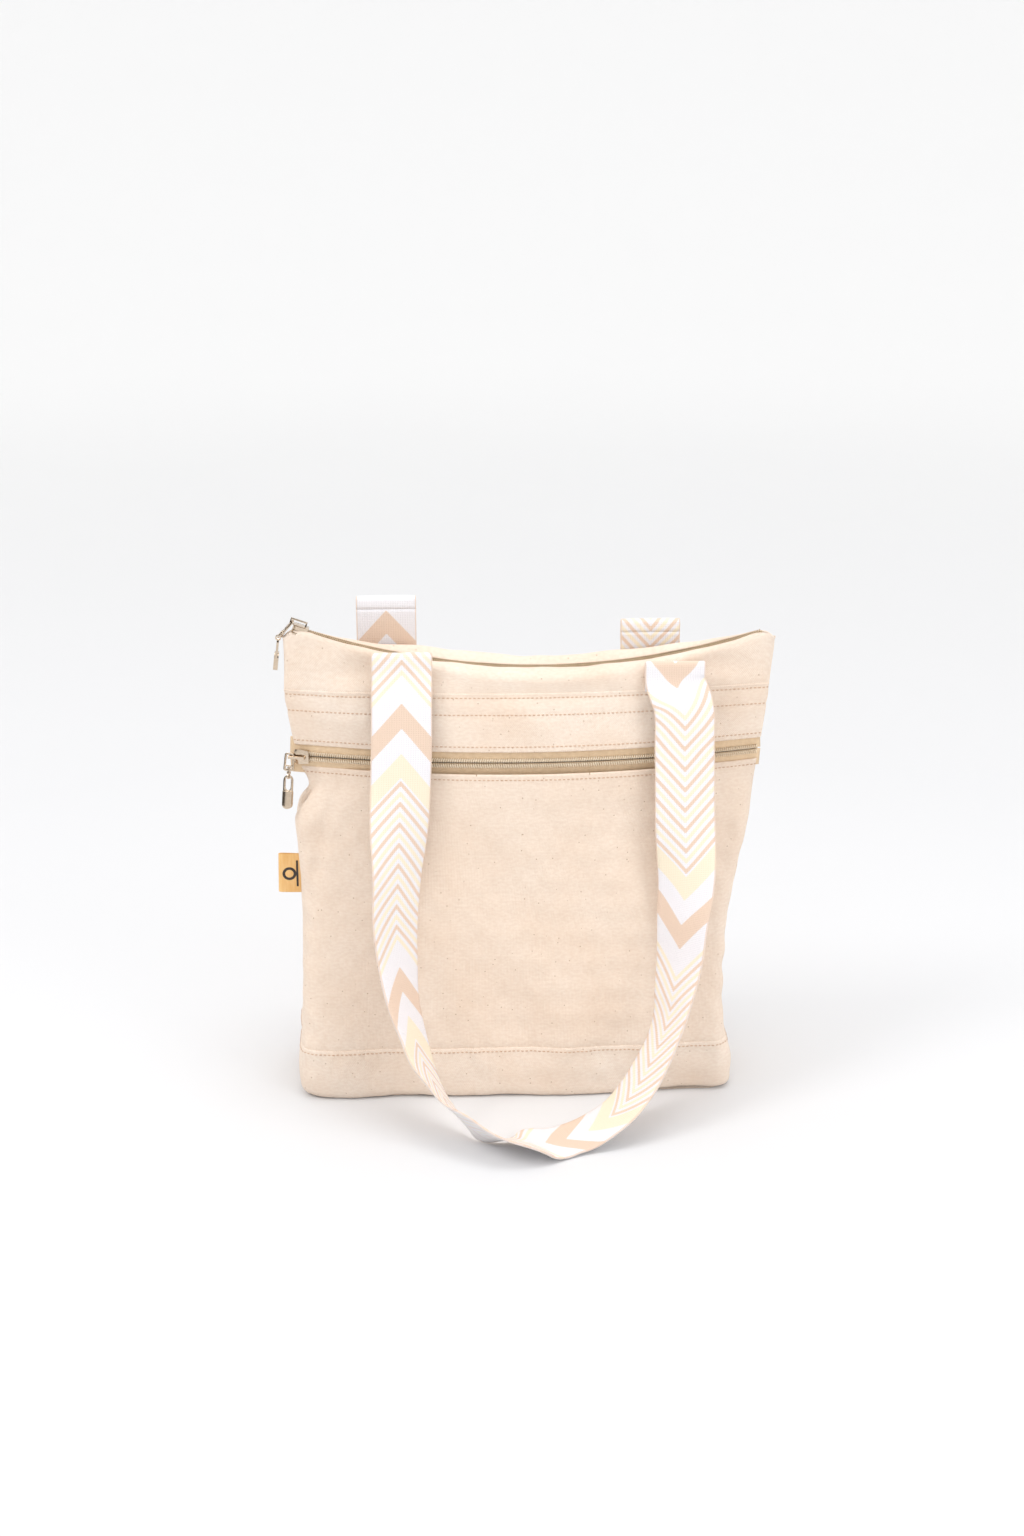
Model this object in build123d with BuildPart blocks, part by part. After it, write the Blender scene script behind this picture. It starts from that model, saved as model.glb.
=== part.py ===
from build123d import *
from math import asin, cos, degrees, radians, sin
import os

# A canvas tote bag that closes with a top zip and has a zipped pocket in its front.
# Millimetres. Origin: centre of the base on the floor. +X to the wearer's right as
# seen from the front, +Y to the back, +Z up.

# ---- driving dimensions ----
CANVAS = 1.6            # two plies of canvas
WALL = 1.2              # pocket wall, one ply and its facing
LINING = 0.8
BAND_TOP = 34.0         # seam between the bottom band and the panels
ZIP_LOW = 215.0         # lower fold of the pocket zip's opening
ZIP_HIGH = 229.0        # upper fold of the pocket zip's opening
YOKE_SEAM = 265.0       # seam between the upper panel and the yoke
CORNER_TOP = 297.5      # the top corners of the bag
POCKET_GAP = 8.4        # depth of the front pocket, panel to wall
WEBBING = 38.0          # strap width
WEBBING_THICK = 1.6

# Cross-sections of the bag: height, centre x, half width, half depth, depth at the
# corner, straight length of each half side, width of the corner. Boxed at the base and
# lens-shaped where the two panels meet at the side seams.
LEVELS = [
    (0.0, 1.0, 139.0, 45.0, 43.5, 31.0, 12.0),
    (BAND_TOP, 1.0, 139.0, 45.0, 43.0, 30.0, 12.0),
    (110.0, 1.0, 138.0, 40.0, 30.0, 17.0, 11.0),
    (ZIP_LOW, 9.5, 147.5, 31.0, 5.0, 1.2, 8.0),
    (ZIP_HIGH, 10.5, 149.0, 28.5, 4.5, 1.2, 7.0),
    (YOKE_SEAM, 11.0, 154.0, 20.5, 4.5, 1.2, 6.0),
    (320.0, 11.5, 156.0, 11.0, 4.5, 1.2, 6.0),
]

# zip chain, number 5 coil; n is measured from the middle of the coil, outwards
COIL_HALF = 1.0
COIL_IN, COIL_OUT = 0.5, 3.2
TAPE_TOP, TAPE_BOTTOM = -1.0, -1.7
TAPE_IN, TAPE_OUT = 0.9, 11.0

# the top chain sags between the two corners on an arc about an axis above the bag
TOP_R = 455.0
TOP_X, TOP_Z = 20.0, 277.0 + 455.0
TOP_REST_X = -133.0
# the pocket chain bulges forwards on an arc about an upright axis behind the bag
POCKET_R = 460.0
POCKET_X, POCKET_Y = 9.6, POCKET_R - 28.5
POCKET_Z = (ZIP_LOW + ZIP_HIGH) / 2
POCKET_REST_X = -134.0

# slider, the same on both zips, in its own frame: u along the chain, v across, n out
PLATE_TOP, PLATE_UNDER = 2.2, 1.4
SOLE_TOP, SOLE_UNDER = -2.1, -3.1
BRIDGE_TOP, BRIDGE_UNDER = 5.4, 4.5
BRIDGE_LEFT, BRIDGE_RIGHT = -7.4, 3.4
LEG = 0.9
RING_N = 3.45           # middle of the pull ring above the chain

# pull: ring, swivel post and bar; y runs up each piece from its hinge line
RING_THICK = 1.2
RING_LENGTH = 10.9
RING_TOP_HALF, RING_FOOT_HALF = 3.0, 3.7
CROSSBAR_LOW, CROSSBAR_HIGH = -8.1, -7.2
FOOT_TOP = -9.4
POST_HOLE_R, POST_R = 0.70, 0.62
EYE_Y = -14.2
EYE_R, EYE_HOLE_R, EYE_THICK = 1.9, 1.1, 1.1
BAR_LENGTH, BAR_WIDTH, BAR_WIRE = 21.0, 6.4, 1.3
BAR_THICK = 2.8
BAR_SOLID_FROM = -9.0

os.makedirs("parts", exist_ok=True)


def save(part, label):
    part.label = label
    export_step(part, f"parts/{label}.step")


def level(z):
    """Centre x, half width, half depth, corner depth, side and corner width at height z."""
    for low, high in zip(LEVELS, LEVELS[1:]):
        if z <= high[0]:
            t = (z - low[0]) / (high[0] - low[0])
            return [a + (b - a) * t for a, b in zip(low[1:], high[1:])]
    return list(LEVELS[-1][1:])


SKIN = 2.5              # insets up to this run parallel to the panel, even at the corners


def inset_level(z, inset_x, inset_y):
    xc, a, b, d, s, q = level(z)
    share = 0.3 + 0.7 * d / b
    corner = (d - min(inset_y, SKIN) * share) * (b - max(inset_y, SKIN)) / (b - SKIN)
    return xc, a - inset_x, b - inset_y, corner, min(s, corner * 0.6), q


def outline(z, side, inset_x, inset_y):
    """Edges of half a cross-section, from the left seam to the right one."""
    xc, a, b, d, s, q = inset_level(z, inset_x, inset_y)
    turn = sin(radians(45))

    def at(x, y):
        return (xc + x, side * y)

    mid_x = a - q * (1 - turn)
    mid_y = s + (d - s) * turn
    return [
        Line(at(-a, 0), at(-a, s)),
        ThreePointArc(at(-a, s), at(-mid_x, mid_y), at(-a + q, d)),
        ThreePointArc(at(-a + q, d), at(0, b), at(a - q, d)),
        ThreePointArc(at(a - q, d), at(mid_x, mid_y), at(a, s)),
        Line(at(a, s), at(a, 0)),
    ]


def shell_section(z, side, outer, inner):
    """Sketch of half a ring at height z, between two insets (x, y)."""
    with BuildSketch(Plane.XY.offset(z)) as ring:
        with BuildLine():
            out = outline(z, side, *outer)
            into = outline(z, side, *inner)
            Line(out[0] @ 0, into[0] @ 0)
            Line(out[-1] @ 1, into[-1] @ 1)
        make_face()
    return ring.sketch


def full_section(z, inset):
    with BuildSketch(Plane.XY.offset(z)) as whole:
        with BuildLine():
            outline(z, -1, inset, inset)
            outline(z, 1, inset, inset)
        make_face()
    return whole.sketch


def heights(low, high):
    """The section heights that a panel from low to high needs."""
    return [low] + [row[0] for row in LEVELS if low < row[0] < high] + [high]


# ---- bottom: base, and the band round it, front and back ----
with BuildPart() as base_panel:
    loft([full_section(0.0, CANVAS), full_section(CANVAS, CANVAS)], ruled=True)
save(base_panel.part, "base_panel")

for name, side in (("front_band", -1), ("back_band", 1)):
    with BuildPart() as band:
        loft([shell_section(z, side, (0, 0), (CANVAS, CANVAS)) for z in heights(0.0, BAND_TOP)],
             ruled=True)
    save(band.part, name)

# ---- outer panels ----
for name, side, low, high in (
    ("front_pocket_panel", -1, BAND_TOP, ZIP_LOW),
    ("front_upper_panel", -1, ZIP_HIGH, YOKE_SEAM),
    ("back_panel", 1, BAND_TOP, YOKE_SEAM),
):
    with BuildPart() as panel:
        loft([shell_section(z, side, (0, 0), (CANVAS, CANVAS)) for z in heights(low, high)],
             ruled=True)
    save(panel.part, name)

# ---- yokes: their top edges follow the mouth, low in the middle ----
FRONT_DROP = 4.0        # front edge below the chain
BACK_EDGE_R, BACK_EDGE_X, BACK_EDGE_LOW = 717.0, 25.0, 281.4
for name, side, radius, cx, cz in (
    ("front_yoke", -1, TOP_R + FRONT_DROP, TOP_X, TOP_Z),
    ("back_yoke", 1, BACK_EDGE_R, BACK_EDGE_X, BACK_EDGE_LOW + BACK_EDGE_R),
):
    with BuildPart() as yoke:
        loft([shell_section(z, side, (0, 0), (CANVAS, CANVAS)) for z in (YOKE_SEAM, CORNER_TOP)],
             ruled=True)
        with BuildSketch(Plane.XZ.offset(-60)):
            with Locations((cx, cz)):
                Circle(radius)
        extrude(amount=120, mode=Mode.SUBTRACT)
    save(yoke.part, name)

# ---- inside: pocket wall and lining ----
WALL_IN = CANVAS + POCKET_GAP
WALL_X = 4.0


def inner_wall(side, inset_x, thick, rows):
    """Closed wall through rows of (height, inset in depth)."""
    return loft([shell_section(z, side, (inset_x, inset), (inset_x + thick, inset + thick))
                 for z, inset in rows], ruled=True)


with BuildPart() as pocket_back_wall:
    inner_wall(-1, WALL_X, WALL, ((BAND_TOP, WALL_IN), (110.0, WALL_IN), (ZIP_LOW, WALL_IN),
                                  (ZIP_HIGH, WALL_IN - 0.5), (YOKE_SEAM - 1, 1.9)))
save(pocket_back_wall.part, "pocket_back_wall")

LINING_TOP = 262.0
LINING_X = 5.5
FRONT_LINING = WALL_IN + WALL + 0.3
BACK_LINING = CANVAS + 0.6
with BuildPart() as lining:
    inner_wall(-1, LINING_X, LINING, (
        (CANVAS + 0.3, FRONT_LINING), (110.0, FRONT_LINING), (ZIP_LOW, FRONT_LINING),
        (ZIP_HIGH, FRONT_LINING - 0.5), (LINING_TOP, 4.4)))
    inner_wall(1, LINING_X, LINING, [
        (z, BACK_LINING) for z in (CANVAS + 0.3, BAND_TOP, 110.0, ZIP_LOW, ZIP_HIGH, LINING_TOP)])
save(lining.part, "lining")

# ---- the top chain: each half has a tape and a coil, and belongs to one lip ----
TOP_REST = degrees(asin((TOP_REST_X - TOP_X) / TOP_R))
TOP_START = TOP_REST - 0.6
TOP_END = 17.8

with BuildPart() as mouth_space:
    loft([full_section(z, CANVAS + 0.4) for z in (YOKE_SEAM - 15, 320.0)], ruled=True)


def sector(plane, center, inner, outer, start, end):
    """Sketch of a ring sector; angles are measured from straight down, anticlockwise."""
    with BuildSketch(plane) as ring:
        with BuildLine():
            low = CenterArc(center, outer, 270 + start, end - start)
            top = CenterArc(center, inner, 270 + start, end - start)
            Line(low @ 0, top @ 0)
            Line(low @ 1, top @ 1)
        make_face()
    return ring.sketch


for name, side in (("front", -1), ("back", 1)):
    with BuildPart() as tape:
        extrude(sector(Plane.XZ.offset(-side * TAPE_IN), (TOP_X, TOP_Z), TOP_R - TAPE_TOP,
                       TOP_R - TAPE_BOTTOM, TOP_START, TOP_END),
                amount=-side * (TAPE_OUT - TAPE_IN))
        add(mouth_space.part, mode=Mode.INTERSECT)
    save(tape.part, f"top_zip_{name}_tape")
    with BuildPart() as coil:
        extrude(sector(Plane.XZ.offset(-side * COIL_IN), (TOP_X, TOP_Z), TOP_R - COIL_HALF,
                       TOP_R + COIL_HALF, TOP_START, TOP_END),
                amount=-side * (COIL_OUT - COIL_IN))
    save(coil.part, f"top_zip_{name}_coil")

# ---- the pocket chain, upper and lower half ----
POCKET_REST = degrees(asin((POCKET_REST_X - POCKET_X) / POCKET_R))
POCKET_START = POCKET_REST - 0.6
POCKET_END = 18.1
HALF_OPENING = (ZIP_HIGH - ZIP_LOW) / 2

for name, side in (("lower", -1), ("upper", 1)):
    with BuildPart() as tape:
        extrude(sector(Plane.XY.offset(POCKET_Z + side * TAPE_IN), (POCKET_X, POCKET_Y),
                       POCKET_R + TAPE_BOTTOM, POCKET_R + TAPE_TOP, POCKET_START, POCKET_END),
                amount=side * (HALF_OPENING - TAPE_IN))
    save(tape.part, f"pocket_zip_{name}_tape")
    with BuildPart() as coil:
        extrude(sector(Plane.XY.offset(POCKET_Z + side * COIL_IN), (POCKET_X, POCKET_Y),
                       POCKET_R - COIL_HALF, POCKET_R + COIL_HALF, POCKET_START, POCKET_END),
                amount=side * (COIL_OUT - COIL_IN))
    save(coil.part, f"pocket_zip_{name}_coil")


# ---- sliders ----
def make_slider(frame):
    """Slider with its bridge, in the given frame: x along the chain, z outwards."""

    def block(u0, u1, half_v, n0, n1):
        with BuildSketch(frame.offset(n0)) as foot:
            with Locations(((u0 + u1) / 2, 0)):
                Rectangle(u1 - u0, 2 * half_v)
        extrude(foot.sketch, amount=n1 - n0)

    with BuildPart() as slider:
        for n0, n1 in ((PLATE_UNDER, PLATE_TOP), (SOLE_UNDER, SOLE_TOP)):
            with BuildSketch(frame.offset(n0)):
                with BuildLine():
                    Polyline((-4.6, -3.0), (-3.4, -4.8), (0, -4.8), (5.4, -4.1),
                             (5.4, 4.1), (0, 4.8), (-3.4, 4.8), (-4.6, 3.0), close=True)
                make_face()
            extrude(amount=n1 - n0)
        for side in (-1, 1):
            with BuildSketch(frame.offset(-0.5)):
                with Locations((1.1, side * 3.85)):
                    Rectangle(8.0, 0.7)
            extrude(amount=PLATE_TOP + 0.3)
        block(-4.6, -1.8, 0.22, SOLE_TOP - 0.1, PLATE_UNDER + 0.1)
        block(BRIDGE_LEFT, -4.4, 1.1, PLATE_UNDER, PLATE_TOP)
        block(BRIDGE_LEFT, BRIDGE_RIGHT, LEG, BRIDGE_UNDER, BRIDGE_TOP)
        block(BRIDGE_LEFT, BRIDGE_LEFT + LEG, LEG, PLATE_TOP - 0.1, BRIDGE_UNDER + 0.1)
        block(BRIDGE_RIGHT - LEG, BRIDGE_RIGHT, LEG, PLATE_TOP - 0.1, BRIDGE_UNDER + 0.1)
    return slider.part


def make_ring(frame):
    """Pull ring: a tapered loop with a crossbar and a bored foot."""
    foot = -RING_LENGTH
    with BuildPart() as ring:
        with BuildSketch(frame.offset(-RING_THICK / 2)) as shape:
            with BuildLine():
                Polyline((-RING_TOP_HALF, 0.55), (RING_TOP_HALF, 0.55),
                         (RING_FOOT_HALF, foot), (-RING_FOOT_HALF, foot), close=True)
            make_face()
            fillet(shape.vertices(), 1.4)
            with BuildLine():
                Polyline((-1.95, -0.55), (1.95, -0.55), (2.4, CROSSBAR_HIGH),
                         (-2.4, CROSSBAR_HIGH), close=True)
            make_face(mode=Mode.SUBTRACT)
            with Locations((0, (CROSSBAR_LOW + FOOT_TOP) / 2)):
                Rectangle(4.8, CROSSBAR_LOW - FOOT_TOP, mode=Mode.SUBTRACT)
        extrude(amount=RING_THICK)
        with BuildSketch(Plane(frame.origin + frame.y_dir * foot, frame.x_dir, frame.y_dir)):
            Circle(1.3)
        extrude(amount=FOOT_TOP - foot)
        with BuildSketch(Plane(frame.origin + frame.y_dir * foot, frame.x_dir, frame.y_dir)):
            Circle(POST_HOLE_R)
        extrude(amount=FOOT_TOP - foot, mode=Mode.SUBTRACT)
    return ring.part


def make_post(frame):
    """Swivel post: head, shaft and collar on one axis, and the eye below them."""
    with BuildPart() as post:
        for low, high, radius in ((-9.15, -8.35, 1.1), (-11.3, -9.1, POST_R), (-12.7, -11.2, 1.3)):
            with BuildSketch(Plane(frame.origin + frame.y_dir * low, frame.x_dir, frame.y_dir)):
                Circle(radius)
            extrude(amount=high - low)
        eye = frame.origin + frame.y_dir * EYE_Y - frame.x_dir * (EYE_THICK / 2)
        with BuildSketch(Plane(eye, frame.y_dir, frame.x_dir)):
            Circle(EYE_R)
            Circle(EYE_HOLE_R, mode=Mode.SUBTRACT)
        extrude(amount=EYE_THICK)
    return post.part


def make_bar(frame):
    """Pull bar: a long oval loop whose lower part is solid."""
    half = BAR_WIDTH / 2
    top = BAR_WIRE / 2
    with BuildPart() as bar:
        with BuildSketch(frame.offset(-BAR_WIRE / 2)):
            with Locations((0, (top - BAR_LENGTH) / 2)):
                SlotOverall(BAR_LENGTH + top, BAR_WIDTH, rotation=90)
            with Locations((0, (-top + BAR_SOLID_FROM) / 2)):
                SlotOverall(-BAR_SOLID_FROM - top, BAR_WIDTH - 2 * BAR_WIRE, rotation=90,
                            mode=Mode.SUBTRACT)
        extrude(amount=BAR_WIRE)
        with BuildSketch(frame.offset(-BAR_THICK / 2)) as solid:
            with Locations((0, (BAR_SOLID_FROM - 0.6 - BAR_LENGTH) / 2)):
                Rectangle(BAR_WIDTH, BAR_LENGTH + BAR_SOLID_FROM - 0.6)
            fillet(solid.vertices().sort_by(lambda v: (v.center() - frame.origin).dot(frame.y_dir))[:2],
                   half - 0.2)
        extrude(amount=BAR_THICK)
    return bar.part


def chain_frame(rest_deg, radius, cx, cy, upright):
    """Slider frame on a chain: at rest_deg from straight down on the arc."""
    a = radians(rest_deg)
    if upright:
        origin = Vector(cx + radius * sin(a), 0, cy - radius * cos(a))
        return Plane(origin, Vector(cos(a), 0, sin(a)), Vector(-sin(a), 0, cos(a)))
    origin = Vector(cx + radius * sin(a), cy - radius * cos(a), POCKET_Z)
    return Plane(origin, Vector(cos(a), sin(a), 0), Vector(sin(a), -cos(a), 0))


def on_frame(frame, u, v, n):
    return frame.origin + frame.x_dir * u + frame.y_dir * v + frame.z_dir * n


# top slider; its ring drapes over the corner and its bar hangs beside the bag
TOP_RING_SLOPE = 48.0
TOP_BAR_LEAN = 7.0
top_frame = chain_frame(TOP_REST, TOP_R, TOP_X, TOP_Z, True)
save(make_slider(top_frame), "top_slider")

slope = radians(TOP_RING_SLOPE)
top_pivot = on_frame(top_frame, -5.6, 0, RING_N)
top_up = Vector(cos(slope), 0, sin(slope))
top_ring_frame = Plane(top_pivot, Vector(0, 1, 0), Vector(0, 1, 0).cross(top_up))
save(make_ring(top_ring_frame), "top_pull_ring")
save(make_post(top_ring_frame), "top_pull_swivel")
top_eye = top_pivot + top_up * EYE_Y
lean = radians(TOP_BAR_LEAN)
top_bar_up = Vector(sin(lean), 0, cos(lean))
top_bar_frame = Plane(top_eye, Vector(0, 1, 0), Vector(0, 1, 0).cross(top_bar_up))
save(make_bar(top_bar_frame), "top_pull_bar")

# pocket slider; its ring hangs from the end of the bridge, leaning out from the panel
POCKET_PULL_LEAN = 12.0
RING_HANG = 1.8         # the ring's top wire above the middle of the bridge's leg
pocket_frame = chain_frame(POCKET_REST, POCKET_R, POCKET_X, POCKET_Y, False)
save(make_slider(pocket_frame), "pocket_slider")

lean = radians(POCKET_PULL_LEAN)
pocket_up = Vector(0, 0, 1) * cos(lean) - pocket_frame.z_dir * sin(lean)
pocket_pivot = on_frame(pocket_frame, BRIDGE_LEFT + LEG / 2, 0, RING_N)
ring_origin = pocket_pivot + pocket_up * RING_HANG
pocket_ring_frame = Plane(ring_origin, pocket_frame.x_dir, pocket_frame.x_dir.cross(pocket_up))
save(make_ring(pocket_ring_frame), "pocket_pull_ring")
save(make_post(pocket_ring_frame), "pocket_pull_swivel")
pocket_eye = ring_origin + pocket_up * EYE_Y
pocket_bar_frame = Plane(pocket_eye, pocket_ring_frame.x_dir, pocket_ring_frame.z_dir)
save(make_bar(pocket_bar_frame), "pocket_pull_bar")

# ---- straps: webbing that hangs from its two folds and lies on the floor ----
# Each station is the middle of the webbing and the direction from its outer edge to its
# inner edge. The webbing turns edge-on on its way down and lies almost flat at the floor.
LEFT_STRAND = [
    ((-70.1, -25.5, 263), (1, 0, 0)),
    ((-70.5, -31.5, 239), (1, 0, 0)),
    ((-72.0, -39.0, 202), (1, 0.1, 0)),
    ((-74.7, -50.0, 153), (0.79, 0.61, 0)),
    ((-76.0, -55.0, 130), (0.74, 0.67, 0)),
    ((-74.9, -60.0, 103), (0.63, 0.77, 0)),
    ((-72.2, -67.0, 80), (0.5, 0.85, -0.12)),
    ((-65.6, -76.0, 57), (0.38, 0.9, -0.2)),
    ((-60.9, -84.1, 44.3), (0.35, 0.87, -0.32)),
    ((-52.7, -94.0, 31.3), (0.2, 0.88, -0.4)),
    ((-41.5, -108.0, 21), (0.2, 0.8, -0.55)),
    ((-30.0, -119.0, 15.5), (0.1, 0.71, -0.7)),
]
LOW_LOOP = [
    ((-14.0, -126.0, 11.5), (0.05, 0.87, -0.5)),
    ((1.0, -126.0, 8.5), (0.05, 0.95, -0.32)),
    ((15.0, -119.5, 4.0), (-0.05, 1, 0)),
    ((28.5, -112.5, 2.5), (-0.3, 0.95, 0)),
    ((40.0, -108.5, 4.5), (-0.3, 0.95, 0)),
]
RIGHT_STRAND = [
    ((49.4, -106.4, 9), (-0.3, 0.95, -0.03)),
    ((61.3, -102.1, 16.2), (-0.36, 0.93, -0.1)),
    ((74.2, -94.7, 28.8), (-0.43, 0.88, -0.18)),
    ((83.7, -86.0, 41.6), (-0.44, 0.86, -0.26)),
    ((91.5, -77.4, 54), (-0.4, 0.88, -0.27)),
    ((96.7, -71.2, 67.6), (-0.44, 0.87, -0.22)),
    ((99.6, -65.8, 81.7), (-0.56, 0.81, -0.16)),
    ((102.5, -61.0, 97), (-0.65, 0.75, -0.1)),
    ((105.1, -55.0, 126.6), (-0.78, 0.62, -0.05)),
    ((107.0, -51.6, 142), (-0.86, 0.51, -0.05)),
    ((106.9, -40.5, 192), (-1, 0.05, 0)),
    ((106.8, -32.5, 230), (-1, 0, 0)),
    ((106.0, -26.5, 258), (-1, 0, 0)),
]
HINGE_GAP = 0.6         # from the fold line to the start of the hanging webbing
LEG_FOOT = 254.0        # lower end of the sewn legs
LEG_CLEAR = 0.25        # between the leg and the panel
# from the hanging webbing back to the leg's top, and from the fold line down to it
FRONT_LEG_TOP = (1.6, 3.4)
BACK_LEG_TOP = (2.6, 5.2)


def make_strap(stations):
    points = [Vector(*c) for c, _ in stations]
    widths = [Vector(*w) for _, w in stations]
    with BuildPart() as strap:
        for i, (point, width) in enumerate(zip(points, widths)):
            before, after = points[max(i - 1, 0)], points[min(i + 1, len(points) - 1)]
            way = (after - before).normalized()
            across = (width - way * width.dot(way)).normalized()
            with BuildSketch(Plane(point, across, way)):
                Rectangle(WEBBING, WEBBING_THICK)
        loft(ruled=True)
    return strap.part


def panel_depth(x, z):
    """Distance of the panel's outer face from the plane of the side seams."""
    xc, a, b, d, s, q = level(z)
    return b - (b - d) * ((x - xc) / (a - q)) ** 2


def make_legs(side, folds, leg_top):
    """The two sewn legs of a strap, rising from the yoke seam to the folds."""
    set_back, drop = leg_top
    with BuildPart() as legs:
        for x, y, z in folds:
            inner_x = x - WEBBING / 2 if x > 0 else x + WEBBING / 2
            foot_y = side * (panel_depth(inner_x, LEG_FOOT) + LEG_CLEAR)
            seam_y = side * (panel_depth(inner_x, YOKE_SEAM) + LEG_CLEAR)
            top_y = y - side * (1.5 * WEBBING_THICK + set_back)
            top_z = z - drop
            with BuildSketch(Plane.YZ.offset(x - WEBBING / 2)):
                with BuildLine():
                    Polyline((foot_y, LEG_FOOT), (seam_y, YOKE_SEAM), (top_y, top_z),
                             (top_y + side * WEBBING_THICK, top_z),
                             (seam_y + side * WEBBING_THICK, YOKE_SEAM),
                             (foot_y + side * WEBBING_THICK, LEG_FOOT), close=True)
                make_face()
            extrude(amount=WEBBING)
    return legs.part


FRONT_FOLDS = [(-69.7, -18.9, 289.5), (101.4, -19.6, 282.0)]
BACK_FOLDS = [(-79.0, 19.5, 318.0), (89.5, 20.0, 301.0)]


def strap_stations(folds, side, shift):
    """The whole route from one fold to the other; the back strap mirrors the front one."""
    (x0, y0, z0), (x1, y1, z1) = folds
    route = [((x0, y0, z0 - HINGE_GAP), (1, 0, 0))]
    for (x, y, z), (wx, wy, wz) in LEFT_STRAND + LOW_LOOP + RIGHT_STRAND:
        route.append(((x + shift, -side * y, z), (wx, -side * wy, wz)))
    route.append(((x1, y1, z1 - HINGE_GAP), (-1, 0, 0)))
    return route


save(make_strap(strap_stations(FRONT_FOLDS, -1, 0.0)), "front_strap")
save(make_legs(-1, FRONT_FOLDS, FRONT_LEG_TOP), "front_strap_legs")
save(make_strap(strap_stations(BACK_FOLDS, 1, -9.0)), "back_strap")
save(make_legs(1, BACK_FOLDS, BACK_LEG_TOP), "back_strap_legs")

# ---- side label, a folded tab sewn into the left side seam ----
LABEL_LOW, LABEL_HIGH = 128.0, 154.0
LABEL_REACH = 14.0
seam_x = level(LABEL_LOW)[0] - level(LABEL_LOW)[1]
with BuildPart() as side_label:
    with BuildSketch(Plane.XZ.offset(-0.6)):
        with Locations((seam_x - 0.3 - LABEL_REACH / 2, (LABEL_LOW + LABEL_HIGH) / 2)):
            Rectangle(LABEL_REACH, LABEL_HIGH - LABEL_LOW)
    extrude(amount=1.2)
save(side_label.part, "side_label")
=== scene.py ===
"""Looks of the zip-top canvas tote bag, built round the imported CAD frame."""

from math import ceil, cos, degrees, pi, radians, sin

import bmesh
import bpy
import numpy as np
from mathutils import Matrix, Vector


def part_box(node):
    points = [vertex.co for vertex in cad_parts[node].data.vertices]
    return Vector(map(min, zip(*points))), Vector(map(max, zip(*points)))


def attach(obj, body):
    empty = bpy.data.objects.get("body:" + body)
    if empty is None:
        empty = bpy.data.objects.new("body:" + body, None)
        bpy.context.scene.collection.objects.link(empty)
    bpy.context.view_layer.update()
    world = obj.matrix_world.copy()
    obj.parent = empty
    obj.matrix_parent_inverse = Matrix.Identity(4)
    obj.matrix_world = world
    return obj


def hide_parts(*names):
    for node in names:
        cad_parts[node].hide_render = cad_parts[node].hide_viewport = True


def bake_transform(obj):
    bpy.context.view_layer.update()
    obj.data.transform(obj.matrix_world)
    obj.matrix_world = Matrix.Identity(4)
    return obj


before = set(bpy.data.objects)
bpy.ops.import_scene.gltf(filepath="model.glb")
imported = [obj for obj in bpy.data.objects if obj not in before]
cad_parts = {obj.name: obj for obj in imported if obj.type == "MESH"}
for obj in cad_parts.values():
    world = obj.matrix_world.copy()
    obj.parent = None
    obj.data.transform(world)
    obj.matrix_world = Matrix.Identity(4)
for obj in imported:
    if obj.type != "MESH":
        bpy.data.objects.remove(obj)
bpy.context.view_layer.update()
MM = 0.001


def node_box(name):
    """Lowest and highest corner of a CAD node, in millimetres."""
    return [[c / MM for c in corner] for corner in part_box(name)]


# ---- heights of the seams, from the frame; everything below is in millimetres ----
BAND_TOP = node_box("front_band")[1][2]
ZIP_LOW = node_box("front_pocket_panel")[1][2]
ZIP_HIGH, YOKE_SEAM = (node_box("front_upper_panel")[k][2] for k in (0, 1))
CANVAS = 1.6
WEBBING, WEBBING_THICK = 38.0, 1.6

# both zip chains lie on arcs: the top one sags, the pocket one bulges forwards
TOP_R, TOP_X, TOP_Z = 455.0, 20.0, 732.0
TOP_ANGLES = (-20.1, 17.7)
POCKET_R, POCKET_X, POCKET_Y = 460.0, 9.6, 431.5
POCKET_ANGLES = (-18.7, 18.75)
POCKET_Z = (ZIP_LOW + ZIP_HIGH) / 2


# ---- small tools ----
def unit(v):
    return v / np.maximum(np.linalg.norm(v, axis=-1, keepdims=True), 1e-9)


def smooth_step(t):
    t = np.clip(t, 0.0, 1.0)
    return t * t * (3 - 2 * t)


def bump_at(t, middle, width):
    return np.exp(-(((t - middle) / width) ** 2))


def ripple(x, y, size, seed):
    """Soft seeded unevenness between about -1 and 1, features about size mm across."""
    random = np.random.default_rng(seed)
    total = np.zeros_like(x, dtype=float)
    for _ in range(7):
        way, wave = random.uniform(0, pi), size * random.uniform(0.7, 1.6)
        total = total + np.sin(2 * pi * (x * cos(way) + y * sin(way)) / wave
                               + random.uniform(0, 2 * pi))
    return total / 3.5


def softened(points, width):
    """Function through (height, value) points, with its kinks rounded over width mm."""
    heights = np.arange(-40.0, 361.0)
    values = np.interp(heights, *zip(*points))
    window = np.hanning(int(width) + 2)[1:-1]
    padded = np.pad(values, len(window) // 2, mode="edge")
    rounded = np.convolve(padded, window / window.sum(), mode="valid")[:len(heights)]
    return lambda z: np.interp(z, heights, rounded)


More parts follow.
